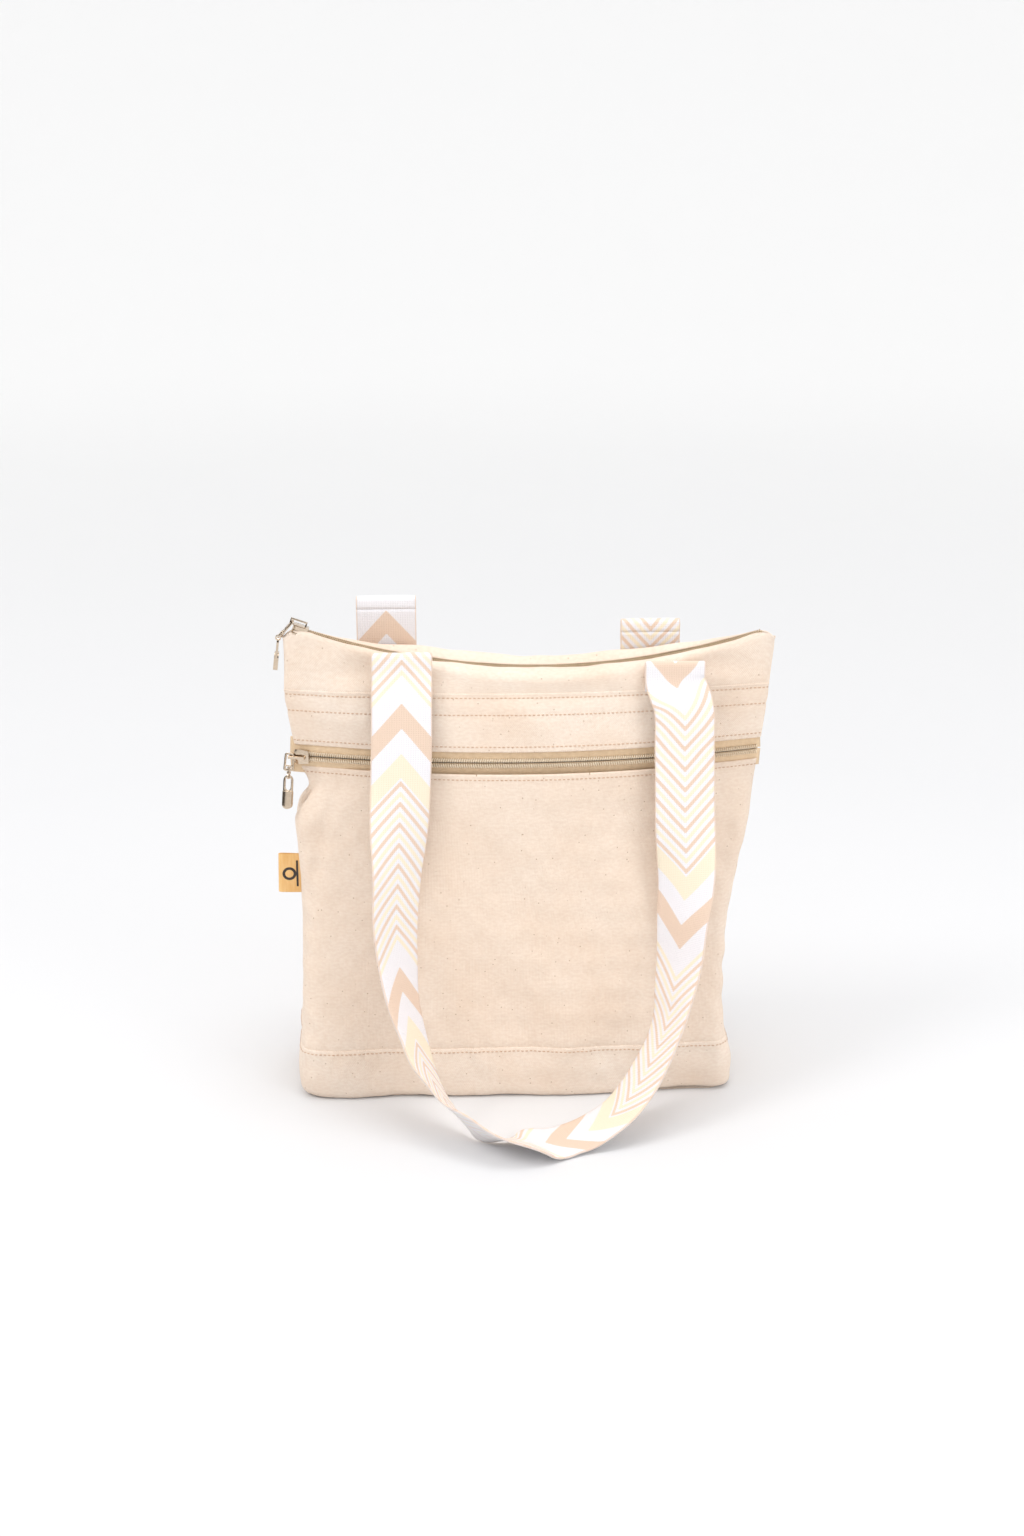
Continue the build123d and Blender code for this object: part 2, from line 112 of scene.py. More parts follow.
# ---- the bag's cross-section: half widths, depths and corners by height ----
LEFT = softened([(0, -138), (14, -139), (28, -139.5), (50, -137.5), (110, -136.8), (183, -138.5),
                 (203, -135), (222, -137.5), (231, -139.5), (264, -144.5), (297, -144)], 10)
RIGHT = softened([(0, 142), (22, 141.5), (40, 138.5), (112, 139), (152, 145.5), (182, 153),
                  (219, 159.3), (265, 164.5), (288, 167.3), (300, 166)], 12)
DEPTH = softened([(0, 45), (34, 45), (110, 40), (215, 31), (229, 28.5), (265, 20.5), (320, 11)], 10)
CORNER = softened([(0, 43.5), (34, 43), (110, 30), (215, 5), (320, 4.5)], 30)
STRAIGHT = softened([(0, 31), (34, 30), (110, 17), (215, 1.2), (320, 1.2)], 20)
TURN = softened([(0, 12), (34, 12), (110, 11), (215, 8), (265, 6), (320, 6)], 20)
HEM_ROUND = 6.0         # rounding of the bag's bottom edge
SIDE_STEPS, TURN_STEPS, FACE_STEPS = 6, 12, 104
ROW_STEP = 2.2          # greatest height of one row of faces


def outline(side, z, inset_x=0.0, inset_y=0.0):
    """Points of half a cross-section at height z, from the left side seam to the right one."""
    left, right = float(LEFT(z)) + inset_x, float(RIGHT(z)) - inset_x
    middle, a = (left + right) / 2, (right - left) / 2
    b = float(DEPTH(z)) - inset_y
    d = max(float(CORNER(z)) - inset_y * 0.75, 1.6)
    straight, turn = min(float(STRAIGHT(z)), d * 0.7), float(TURN(z))
    up = np.linspace(0, 1, SIDE_STEPS + 1)[:-1]
    phi = np.linspace(0, pi / 2, TURN_STEPS + 1)[:-1]
    face = np.linspace(-1, 1, FACE_STEPS + 1)
    edge_x = np.concatenate([0 * up - a, -a + turn * (1 - np.cos(phi))])
    edge_y = np.concatenate([straight * up, straight + (d - straight) * np.sin(phi)])
    x = np.concatenate([edge_x, face * (a - turn), -edge_x[::-1]])
    y = np.concatenate([edge_y, b - (b - d) * face ** 2, edge_y[::-1]])
    return np.stack([middle + x, side * y, np.full_like(x, z)], axis=1)


def normals(grid, side):
    along = np.gradient(grid, axis=1)
    up = np.gradient(grid, axis=0)
    return unit(np.cross(along, up) * -side)


def arcs(grid):
    """Distance of each point from the left and from the right side seam."""
    steps = np.linalg.norm(np.diff(grid, axis=1), axis=2)
    from_left = np.concatenate([np.zeros((len(grid), 1)), np.cumsum(steps, axis=1)], axis=1)
    return from_left, from_left[:, -1:] - from_left


STITCHED = (BAND_TOP, 211.5, 232.5, 252.0, 262.5)
PINCH_Z = 203.0         # the fold at the left side, under the end of the pocket zip
PINCH_ROOM = 7.5        # how far the inner cloths give way to it


def softness(side, grid):
    """How far the cloth stands off its smooth shape, outwards."""
    x, z = grid[..., 0], grid[..., 2]
    from_left, from_right = arcs(grid)
    inside = smooth_step(np.minimum(from_left, from_right) / 22)
    calm = 0.15 + 0.85 * smooth_step((np.abs(z - POCKET_Z) - 8) / 24) if side < 0 else 1.0
    out = inside * calm * (2.4 * ripple(x, z, 120, 20 + side) + 1.3 * ripple(x, z * 0.6, 42, 30 + side)
                           + 0.4 * ripple(x, z, 15, 40 + side))
    out = out + (1 - inside) * 0.5 * ripple(0 * z, z, 45, 7)
    # seams pull the cloth in, and their stitches pucker it
    for seam in STITCHED:
        out = out - 0.45 * bump_at(z, seam, 1.8) * calm
        gather = np.sin(2 * pi * from_left / 10.5 + 2.5 * ripple(x, 0 * z, 60, int(seam)))
        out = out + 0.28 * inside * gather * bump_at(z, seam, 7) * calm
    # the side seams lie in a shallow groove
    for distance in (from_left, from_right):
        out = out - 0.9 * bump_at(distance, 0, 1.6)
    # pinch at the left side, and the crease that runs down from it
    out = out - 8.0 * bump_at(z, PINCH_Z, 7.0) * bump_at(from_left, 0, 11)
    if side < 0:
        crease = (from_left - 3) - (z - 183) * 0.55
        out = out - 4.5 * bump_at(crease, 0, 2.6) * bump_at(z, 193, 11)
        out = out + 2.4 * bump_at(z, 184, 12) * bump_at(from_left, 20, 13)
        # soft upright folds where the front turns into the sides
        out = out - 1.5 * bump_at(from_left, 27 + (z - 150) * 0.06, 5) * bump_at(z, 165, 55)
        out = out - 1.1 * bump_at(from_right, 24 + (z - 150) * 0.08, 6) * bump_at(z, 175, 50)
        # hollows beside the front straps' legs, above the yoke seam
        for hollow_x in (-96.0, -42.0, 76.0, 128.0):
            out = out - 3.2 * bump_at(x, hollow_x, 12) * bump_at(z, 281, 9)
    # the cloth of the lowest part is weighed down and bulges a little
    return out + 0.9 * inside * bump_at(z, 14, 12)


# ---- mesh building ----
def make_object(name, points, faces, body=None, weave=None, material=None):
    mesh = bpy.data.meshes.new(name)
    mesh.from_pydata((np.asarray(points) * MM).tolist(), [], faces)
    mesh.update()
    for polygon in mesh.polygons:
        polygon.use_smooth = True
    if weave is not None:
        layer = mesh.attributes.new("weave", "FLOAT_VECTOR", "POINT")
        layer.data.foreach_set("vector", np.asarray(weave, dtype=np.float32).ravel())
    piece = bpy.data.objects.new(name, mesh)
    bpy.context.scene.collection.objects.link(piece)
    if material:
        mesh.materials.append(material)
    if body:
        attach(piece, body)
    return piece


def fix_normals(piece):
    shape = bmesh.new()
    shape.from_mesh(piece.data)
    bmesh.ops.recalc_face_normals(shape, faces=shape.faces)
    shape.to_mesh(piece.data)
    shape.free()


ROLL = (pi / 4, pi / 2, 3 * pi / 4)


def shell_parts(outer, out, thick):
    """Points, faces and cloth coordinates of a closed sheet with rolled long edges."""
    rows, cols = outer.shape[:2]
    inner = outer - out * thick
    middle = (outer + inner) / 2
    tips = (unit(outer[-1] - outer[-2]), unit(outer[0] - outer[1]))
    over = [[middle[r] + thick / 2 * (cos(a) * out[r] + sin(a) * way) for a in ROLL]
            for r, way in zip((-1, 0), tips)]
    loop = np.array(list(outer) + over[0] + list(inner[::-1]) + over[1][::-1])
    count = len(loop)
    faces = []
    for k in range(count):
        n = (k + 1) % count
        for j in range(cols - 1):
            faces.append((k * cols + j, k * cols + j + 1, n * cols + j + 1, n * cols + j))
    mate = [2 * rows + len(ROLL) - 1 - i for i in range(rows)]
    for j, flip in ((0, 1), (cols - 1, -1)):
        for i in range(rows - 1):
            faces.append(tuple(r * cols + j for r in (i, i + 1, mate[i + 1], mate[i])[::flip]))
        top = list(range(rows - 1, rows + len(ROLL) + 1))
        low = list(range(2 * rows + len(ROLL) - 1, count)) + [0]
        for end in (top, low):
            faces.append(tuple(r * cols + j for r in end[::flip]))
    u = arcs(outer)[0][rows // 2]
    v = np.concatenate([[0], np.cumsum(np.linalg.norm(np.diff(outer, axis=0), axis=2).mean(axis=1))])
    v_loop = np.concatenate([v, [v[-1]] * len(ROLL), v[::-1], [v[0]] * len(ROLL)])
    weave = np.zeros((count, cols, 3))
    weave[..., 0] = u
    weave[..., 1] = v_loop[:, None] + outer[0, cols // 2, 2]
    # cloth flattens where it would sink below the floor
    loop[..., 2] = (loop[..., 2] + np.sqrt(loop[..., 2] ** 2 + 1)) / 2
    return loop.reshape(-1, 3), faces, weave.reshape(-1, 3)


def shell(name, outer, out, thick, material, body=None):
    points, faces, weave = shell_parts(outer, out, thick)
    piece = make_object(name, points, faces, None, weave, material)
    fix_normals(piece)
    if body:
        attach(piece, body)
    return piece


def rows_between(low, high):
    """Heights from low to high, close together near both ends."""
    count = max(2, ceil((high - low) / ROW_STEP))
    share = np.linspace(0, 1, count + 1)
    heights = low + (high - low) * share
    near = [low + 0.6, low + 1.6, high - 1.6, high - 0.6]
    return np.unique(np.round(np.concatenate([heights, near]), 3))


def rounded_hem(z):
    drop = np.clip(HEM_ROUND - z, 0, HEM_ROUND)
    return float(HEM_ROUND - np.sqrt(HEM_ROUND ** 2 - drop ** 2))


def panel_grid(side, heights, proud=0.0):
    """Outer surface of a panel, and its outward directions."""
    grid = np.array([outline(side, z, rounded_hem(z), rounded_hem(z)) for z in heights])
    for _ in range(5):
        grid[:, 1:-1] = 0.5 * grid[:, 1:-1] + 0.25 * (grid[:, :-2] + grid[:, 2:])
    out = normals(grid, side)
    out[:, 0] = (-1, 0, 0)
    out[:, -1] = (1, 0, 0)
    grid = grid + out * (softness(side, grid) + proud)[..., None]
    grid[:, (0, -1), 1] = 0.0
    turned = normals(grid, side)
    turned[:, 0] = unit(out[:, 0] + 0.5 * turned[:, 1])
    turned[:, -1] = unit(out[:, -1] + 0.5 * turned[:, -2])
    return grid, turned


# ---- materials ----
class Finish:
    """A node material with a few short ways to add to it."""

    def __init__(self, name, roughness, metallic=0.0, sheen=0.0):
        self.material = bpy.data.materials.new(name)
        self.material.use_nodes = True
        self.tree = self.material.node_tree
        self.shader = self.tree.nodes["Principled BSDF"]
        self.shader.inputs["Roughness"].default_value = roughness
        self.shader.inputs["Metallic"].default_value = metallic
        self.shader.inputs["Sheen Weight"].default_value = sheen
        self.shader.inputs["Sheen Roughness"].default_value = 0.5

    def node(self, kind, inputs=(), **settings):
        made = self.tree.nodes.new(kind)
        for key, value in settings.items():
            setattr(made, key, value)
        for key, value in dict(inputs).items():
            self.feed(made.inputs[key], value)
        return made

    def feed(self, socket, value):
        if isinstance(value, bpy.types.NodeSocket):
            self.tree.links.new(value, socket)
        else:
            socket.default_value = value

    def math(self, operation, a, b=0.0):
        return self.node("ShaderNodeMath", {0: a, 1: b}, operation=operation).outputs[0]

    def attribute(self, name):
        found = self.node("ShaderNodeAttribute", attribute_name=name)
        split = self.node("ShaderNodeSeparateXYZ", {0: found.outputs["Vector"]})
        return found.outputs["Vector"], split.outputs

    def noise(self, vector, scale, stretch=(1, 1, 1), detail=2.0):
        scaled = self.node("ShaderNodeVectorMath", {0: vector, 1: stretch}, operation="MULTIPLY")
        return self.node("ShaderNodeTexNoise", {"Vector": scaled.outputs[0], "Scale": scale,
                                               "Detail": detail}).outputs["Fac"]

    def ramp(self, factor, stops, sharp=False):
        made = self.node("ShaderNodeValToRGB", {"Fac": factor})
        made.color_ramp.interpolation = "CONSTANT" if sharp else "LINEAR"
        steps = made.color_ramp.elements
        while len(steps) < len(stops):
            steps.new(1.0)
        for step, (place, colour) in zip(steps, stops):
            step.position = place
            step.color = (*colour, 1.0)
        return made.outputs["Color"]

    def mix(self, factor, a, b):
        made = self.node("ShaderNodeMix", data_type="RGBA")
        self.feed(made.inputs[0], factor)
        for key, value in ((6, a), (7, b)):
            self.feed(made.inputs[key], value if isinstance(value, bpy.types.NodeSocket)
                      else (*value, 1.0))
        return made.outputs[2]

    def wave(self, value, period):
        """Sine of a length in mm, between 0 and 1."""
        turned = self.math("SINE", self.math("MULTIPLY", value, 2 * pi / period))
        return self.math("MULTIPLY_ADD", turned, 0.5)

    def paint(self, colour, height=None, depth=0.1):
        self.feed(self.shader.inputs["Base Color"], colour)
        if height is not None:
            bump = self.node("ShaderNodeBump", {"Height": height, "Distance": depth * MM,
                                               "Strength": 1.0})
            self.feed(self.shader.inputs["Normal"], bump.outputs[0])
        return self.material


ECRU, ECRU_LIGHT, ECRU_DEEP = (0.86, 0.70, 0.565), (0.93, 0.82, 0.71), (0.68, 0.48, 0.35)
FLECK = (0.36, 0.22, 0.11)


def canvas(name, twill, light=0.0):
    """Undyed cotton canvas: a twill or a plain weave, slubs and a few brown flecks."""
    finish = Finish(name, 0.88, sheen=0.12)
    vector, axes = finish.attribute("weave")
    across, up = axes[0], axes[1]
    blotch = finish.noise(vector, 0.022)
    # light lifts the base tone towards ECRU_LIGHT: painted light, a lighter copy of the canvas for panels
    # brightened by the light from above
    base = finish.ramp(blotch, [(0.3, ECRU), (0.7, tuple(c + (d - c) * (0.5 + light)
                                                        for c, d in zip(ECRU, ECRU_LIGHT)))])
    slub = finish.math("MULTIPLY", finish.noise(vector, 1.0, (0.06, 1.6, 1)),
                       finish.noise(vector, 1.0, (1.6, 0.05, 1)))
    if twill:
        lines = finish.wave(finish.math("ADD", across, finish.math("MULTIPLY", up, 1.15)), 1.25)
        weave = finish.math("MULTIPLY", lines, 0.8)
    else:
        weave = finish.math("MULTIPLY", finish.wave(across, 0.95), finish.wave(up, 0.85))
    dark = finish.math("MULTIPLY", finish.math("SUBTRACT", 1.0, weave), 0.20 if twill else 0.13)
    cloth = finish.mix(dark, base, ECRU_DEEP)
    cloth = finish.mix(finish.math("MULTIPLY", slub, 0.5), cloth, ECRU_LIGHT)
    grain = finish.ramp(finish.noise(vector, 1.0, (0.34, 0.62, 1), 3.0),
                        [(0.36, (0.0, 0.0, 0.0)), (0.64, (1.0, 1.0, 1.0))])
    cloth = finish.mix(finish.math("MULTIPLY", grain, 0.24), cloth, ECRU_DEEP)
    cells = finish.node("ShaderNodeTexVoronoi", {"Vector": vector, "Scale": 0.12},
                        voronoi_dimensions="2D")
    near = finish.math("LESS_THAN", cells.outputs["Distance"], 0.045)
    few = finish.math("GREATER_THAN", finish.noise(vector, 0.21), 0.56)
    spot = finish.math("MULTIPLY", finish.math("MULTIPLY", near, few), 0.7)
    height = finish.math("ADD", weave, finish.math("MULTIPLY", slub, 1.2))
    return finish.paint(finish.mix(spot, cloth, FLECK), height, 0.16)


def woven(name, colour, deep, period, depth=0.12, roughness=0.8, sheen=0.1):
    """A close woven tape or thread in one colour."""
    finish = Finish(name, roughness, sheen=sheen)
    vector, axes = finish.attribute("weave")
    weave = finish.math("MULTIPLY", finish.wave(axes[0], period), finish.wave(axes[1], period))
    base = finish.ramp(finish.noise(vector, 0.3), [(0.3, deep), (0.7, colour)])
    shade = finish.math("MULTIPLY", finish.math("SUBTRACT", 1.0, weave), 0.35)
    return finish.paint(finish.mix(shade, base, deep), weave, depth)


def plated(name, colour, roughness):
    """Polished plating with faint rub marks."""
    finish = Finish(name, roughness, metallic=1.0)
    place = finish.node("ShaderNodeTexCoord").outputs["Object"]
    rub = finish.noise(place, 420.0, (1, 1, 4), 3.0)
    worn = tuple(c * 0.86 for c in colour)
    roughness_map = finish.math("MULTIPLY_ADD", rub, 0.16)
    roughness_map.node.inputs[2].default_value = roughness - 0.06
    finish.feed(finish.shader.inputs["Roughness"], roughness_map)
    return finish.paint(finish.ramp(rub, [(0.35, worn), (0.65, colour)]), rub, 0.01)


# patterned webbing: widths of the stripes along it, as one repeat
TAN, CREAM, WHITE = (0.79, 0.60, 0.47), (0.90, 0.80, 0.62), (0.85, 0.83, 0.86)
REVERSE = (0.80, 0.78, 0.80)
WIDE = 15.6             # the wide chevrons
THIN_START, THIN_PITCH, THIN_COUNT = 48.2, 12.9, 8
THIN_END = THIN_START + THIN_PITCH * THIN_COUNT
CHEVRON_SLOPE = 1.12


def webbing(name, repeat, start):
    finish = Finish(name, 0.72, sheen=0.15)
    _, (along, across, face) = finish.attribute("weave")
    step = 0.8          # the stripes climb in steps, thread by thread
    off_middle = finish.math("MULTIPLY", finish.math("FLOOR", finish.math(
        "DIVIDE", finish.math("ABSOLUTE", across), step)), step * CHEVRON_SLOPE)
    run = finish.math("SUBTRACT", finish.math("SUBTRACT", along, off_middle), start)
    place = finish.math("MULTIPLY", finish.math("FRACT", finish.math("DIVIDE", run, repeat)), repeat)
    wide = finish.ramp(finish.math("DIVIDE", place, THIN_START), [
        (0.0, TAN), (WIDE / THIN_START, WHITE), (2 * WIDE / THIN_START, CREAM), (0.96, WHITE)], True)
    thin = finish.ramp(finish.math("FRACT", finish.math("DIVIDE", finish.math(
        "SUBTRACT", place, THIN_START), THIN_PITCH)), [
        (0.0, TAN), (0.25, WHITE), (0.5, CREAM), (0.76, WHITE)], True)
    is_thin = finish.math("MULTIPLY", finish.math("GREATER_THAN", place, THIN_START),
                          finish.math("LESS_THAN", place, THIN_END))
    plain = finish.math("GREATER_THAN", place, THIN_END)
    colour = finish.mix(is_thin, finish.mix(plain, wide, WHITE), thin)
    ribs = finish.math("MULTIPLY", finish.wave(along, 1.15), finish.wave(across, 1.5))
    edge = finish.math("GREATER_THAN", finish.math("ABSOLUTE", across), WEBBING / 2 - 0.75)
    colour = finish.mix(finish.math("MULTIPLY", edge, 0.75), colour, TAN)
    colour = finish.mix(finish.math("MULTIPLY", finish.math("SUBTRACT", 1.0, ribs), 0.10),
                        colour, (0.62, 0.52, 0.45))
    back = finish.mix(0.62, colour, REVERSE)
    return finish.paint(finish.mix(face, back, colour), ribs, 0.14)


def label_satin(name, low, high, reach):
    """Satin ribbon with a plain ring and two bars, all generic."""
    finish = Finish(name, 0.36, sheen=0.2)
    vector, (along, up, _) = finish.attribute("weave")
    middle_up, middle_along = (low + high) / 2, reach * 0.5
    dx, dz = finish.math("SUBTRACT", along, middle_along), finish.math("SUBTRACT", up, middle_up)
    radius = finish.math("SQRT", finish.math("ADD", finish.math("MULTIPLY", dx, dx),
                                             finish.math("MULTIPLY", dz, dz)))
    ring = finish.math("LESS_THAN", finish.math("ABSOLUTE", finish.math("SUBTRACT", radius, 3.6)), 0.9)
    bar = finish.math("MULTIPLY", finish.math("LESS_THAN", finish.math("ABSOLUTE", finish.math(
        "SUBTRACT", along, 1.9)), 0.7), finish.math("LESS_THAN", finish.math("ABSOLUTE", dz), 9.0))
    ink = finish.math("MAXIMUM", ring, bar)
    satin = finish.ramp(finish.noise(vector, 0.5, (1, 0.15, 1)),
                        [(0.3, (0.82, 0.47, 0.16)), (0.7, (0.90, 0.58, 0.25))])
    return finish.paint(finish.mix(ink, satin, (0.03, 0.022, 0.018)), finish.wave(up, 0.5), 0.03)


# the twill's lift of 0.45 is painted light from above; it falls on the bands, the upper panel, the yokes
# and the base alike
TWILL = canvas("canvas_twill", True, 0.45)
PLAIN = canvas("canvas_plain", False)
LINING = woven("lining_cotton", (0.86, 0.78, 0.67), (0.78, 0.69, 0.57), 0.8)
KHAKI = woven("tape_khaki", (0.84, 0.64, 0.43), (0.72, 0.53, 0.34), 0.9)
PALE_TAPE = woven("tape_pale", (0.84, 0.69, 0.46), (0.72, 0.56, 0.36), 0.9)
THREAD = woven("thread_beige", (0.70, 0.48, 0.33), (0.56, 0.36, 0.23), 0.35, 0.03, 0.6)
COIL = woven("coil_nylon", (0.93, 0.82, 0.66), (0.80, 0.66, 0.48), 1.45, 0.02, 0.38, 0.0)
COIL_PALE = woven("coil_nylon_pale", (0.66, 0.50, 0.32), (0.50, 0.36, 0.22), 1.45, 0.02, 0.42, 0.0)
METAL = plated("plating_light_gold", (0.72, 0.585, 0.45), 0.13)
FLAG = woven("flag_cloth", (0.03, 0.028, 0.026), (0.02, 0.02, 0.02), 2.0)

# ---- panels ----
PANELS = {}             # heights, outer surface and outward directions, for the stitches


def add_panel(name, side, heights, material, proud=0.0):
    """A panel of the outer bag, whose surface stands proud of the smooth shape."""
    outer, out = panel_grid(side, heights, proud)
    piece = shell(name, outer, out, CANVAS, material, "bag")
    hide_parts(name)
    PANELS[name] = (heights, outer, out)


SEAM = 0.25             # half the gap that a seam's crease shows
HEM_ROWS = np.concatenate([[0.02, 0.5, 1.3, 2.4, 4.0, 6.0], np.arange(8, BAND_TOP - 1, 2.0),
                           [BAND_TOP - 1.2, BAND_TOP - SEAM]])
for where, side in (("front", -1), ("back", 1)):
    add_panel(f"{where}_band", side, HEM_ROWS, TWILL, 0.55)
add_panel("front_pocket_panel", -1, rows_between(BAND_TOP + SEAM, ZIP_LOW - 0.6), PLAIN)
add_panel("front_upper_panel", -1, rows_between(ZIP_HIGH + 0.8, YOKE_SEAM - SEAM), TWILL, 0.3)
add_panel("back_panel", 1, rows_between(BAND_TOP + SEAM, YOKE_SEAM - SEAM), PLAIN)

# the base: a flat sheet between the two bands' lower edges
BASE_ROWS = 14
edges = [outline(side, 1.0, HEM_ROUND - 1, HEM_ROUND - 1)[SIDE_STEPS:-SIDE_STEPS] for side in (-1, 1)]
share = np.linspace(0, 1, BASE_ROWS + 1)[:, None, None]
base = edges[0] * (1 - share) + edges[1] * share
base[..., 2] = 0.25 + 0.35 * (1 - np.cos(pi * share[..., 0] * 2)) * 0.5
down = np.zeros_like(base)
down[..., 2] = -1.0
piece = shell("base_panel_cloth", base, down, -CANVAS, TWILL, "bag")
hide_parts("base_panel")


# ---- pocket wall and lining, seen when the mouth is open ----
def add_inner(name, parts, thick, material, slot, node):
    """Loose inner cloth; each part is a side, its inset in x, and heights with insets in y."""
    points, faces, weave = [], [], []
    for side, inset_x, rows in parts:
        heights = np.unique(np.concatenate([[z for z, _ in rows],
                                            np.arange(rows[0][0] + 6, rows[-1][0] - 4, 8)]))
        insets = np.interp(heights, *zip(*rows))
        # the inner cloths give way to the pinch at the left side
        outer = np.array([outline(side, z, inset_x + PINCH_ROOM * bump_at(z, PINCH_Z, 13), inset)
                          for z, inset in zip(heights, insets)])
        for _ in range(5):
            outer[:, 1:-1] = 0.5 * outer[:, 1:-1] + 0.25 * (outer[:, :-2] + outer[:, 2:])
        shiver = 0.35 * ripple(outer[..., 0], outer[..., 2], 55, 60 + side) - 0.35
        outer = outer + normals(outer, side) * shiver[..., None]
        outer[:, (0, -1), 1] = 0.0
        more, quads, cloth = shell_parts(outer, normals(outer, side), thick)
        offset = sum(len(p) for p in points)
        points.append(more)
        weave.append(cloth)
        faces += [tuple(k + offset for k in face) for face in quads]
    piece = make_object(name, np.concatenate(points), faces, None, np.concatenate(weave), material)
    fix_normals(piece)
    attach(piece, "bag")
    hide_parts(node)


WALL_IN = 10.0          # from the outer surface to the pocket's inner wall
INNER_JOBS = [
    ("pocket_wall_cloth", [(-1, 4.5, [(BAND_TOP, WALL_IN), (ZIP_HIGH, WALL_IN - 0.5),
                                      (YOKE_SEAM - 1, 2.2)])], 1.0, PLAIN, "canvas", "pocket_back_wall"),
    ("lining_cloth", [(-1, 6.0, [(2.2, WALL_IN + 1.6), (ZIP_HIGH, WALL_IN + 1.1), (262.0, 4.6)]),
                      (1, 6.0, [(2.2, 2.6), (200.0, 3.4), (262.0, 5.0)])],
     0.7, LINING, "lining_cloth", "lining"),
]


# ---- zips: places on a chain, as point and way out ----
def top_chain(angle):
    a = np.radians(angle)
    point = np.stack([TOP_X + TOP_R * np.sin(a), 0 * a, TOP_Z - TOP_R * np.cos(a)], -1)
    return point, np.stack([-np.sin(a), 0 * a, np.cos(a)], -1)


def pocket_chain(angle):
    a = np.radians(angle)
    point = np.stack([POCKET_X + POCKET_R * np.sin(a), POCKET_Y - POCKET_R * np.cos(a),
                      0 * a + POCKET_Z], -1)
    return point, np.stack([np.sin(a), -np.cos(a), 0 * a], -1)


def tube_parts(path, radius, sides):
    """Points and faces of a round tube along a path, with closed ends."""
    path = np.asarray(path)
    way = unit(np.gradient(path, axis=0))
    first = unit(np.cross(way, (0.31, 0.83, 0.46)))
    second = np.cross(way, first)
    turn = np.linspace(0, 2 * pi, sides, endpoint=False)
    ring = first[:, None] * np.cos(turn)[None, :, None] + second[:, None] * np.sin(turn)[None, :, None]
    points = path[:, None] + ring * np.broadcast_to(radius, (len(path),))[:, None, None]
    faces = [(i * sides + k, i * sides + (k + 1) % sides, (i + 1) * sides + (k + 1) % sides,
              (i + 1) * sides + k) for i in range(len(path) - 1) for k in range(sides)]
    last = (len(path) - 1) * sides
    faces += [tuple(range(sides))[::-1], tuple(range(last, last + sides))]
    return points.reshape(-1, 3), faces


COIL_PITCH, COIL_WIRE = 1.45, 0.36
COIL_MIDDLE, COIL_REACH, COIL_RISE = 1.75, 1.15, 0.8
COIL_STEPS, COIL_SIDES = 8, 5           # points along one turn and round the wire


def add_coil(name, chain, span, side, across, radius, material, body):
    """Nylon coil: a flattened helix beside the chain's middle line."""
    length = radius * radians(span[1] - span[0])
    turns = int(length / COIL_PITCH)
    t = np.linspace(0, 1, turns * COIL_STEPS + 1)
    point, out = chain(span[0] + (span[1] - span[0]) * t)
    spin = 2 * pi * turns * t
    v = side * (COIL_MIDDLE - COIL_REACH * np.cos(spin))
    path = point + v[:, None] * np.array(across) + out * (COIL_RISE * np.sin(spin))[:, None]
    points, faces = tube_parts(path, COIL_WIRE, COIL_SIDES)
    weave = np.zeros((len(points), 3))
    weave[:, 0] = np.repeat(t * length, COIL_SIDES)
    piece = make_object(name + "_helix", points, faces, body, weave, material)
    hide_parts(name)


TAPE_THICK = 0.55
TAPE_START, TAPE_DEPTH = 0.7, 1.1       # its inner edge from the chain's middle, and below it
TAPE_COLUMNS, TAPE_ROWS = 150, 9


def add_tape(name, chain, span, side, across, reach, drop, material, body=None):
    """Woven tape beside the coil, from under it to reach(x), which may differ along it."""
    angles = np.linspace(*span, TAPE_COLUMNS)
    point, out = chain(angles)
    far = reach(point)
    rows = []
    for k in np.linspace(0, 1, TAPE_ROWS):
        v = TAPE_START + (far - TAPE_START) * k
        rows.append(point + (side * v)[:, None] * np.array(across)
                    + out * (-TAPE_DEPTH - drop * k + 0.12 * ripple(point[:, 0], v, 40, 5))[:, None])
    outer = np.array(rows)
    facing = np.broadcast_to(out, outer.shape).copy()
    piece = shell(name + "_weave", outer, facing, TAPE_THICK, material, body)
    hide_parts(name)
    return piece


# the pocket zip, whose tapes run on under the side seams
MORE_LEFT, MORE_RIGHT = 4.2, 2.9
TAPE_ANGLES = (POCKET_ANGLES[0] - degrees(MORE_LEFT / POCKET_R),
               POCKET_ANGLES[1] + degrees(MORE_RIGHT / POCKET_R))
for half, side in (("lower", -1), ("upper", 1)):
    node = f"pocket_zip_{half}_tape"
    add_tape(node, pocket_chain, TAPE_ANGLES, side, (0, 0, 1),
             lambda p: np.full(len(p), 11.5), 1.4, KHAKI, "bag")
    add_coil(f"pocket_zip_{half}_coil", pocket_chain, POCKET_ANGLES, side, (0, 0, 1), POCKET_R,
             COIL, "bag")

# ---- yokes: up the wall, over a soft shoulder and in to the top zip ----
ZIP_EDGE = 4.4          # from the chain's middle to the folded edge of the yoke
WALL_ROWS, SHOULDER_ROWS = 12, 12
YOKE_TOP, YOKE_LEVELS = 300, 30         # cross-sections that the yoke's wall is read from
BACK_EDGE_R, BACK_EDGE_X, BACK_EDGE_LOW = 717.0, 25.0, 281.4
SHOULDER_WEIGHT = 0.35  # lowest weight that lip_weight gives, out at the wall; its weights are worked out but not used


def chain_height(x):
    inside = np.clip(x, -133.0, 157.0)
    beyond = np.abs(x - inside)
    return TOP_Z - np.sqrt(TOP_R ** 2 - (inside - TOP_X) ** 2) - 0.05 * beyond ** 2


def wall_top(side, x):
    if side < 0:
        return np.minimum(chain_height(x) - 4.6, 298.0)
    arc = BACK_EDGE_LOW + BACK_EDGE_R - np.sqrt(BACK_EDGE_R ** 2 - (x - BACK_EDGE_X) ** 2)
    return np.minimum(arc - 2.2, 298.0)


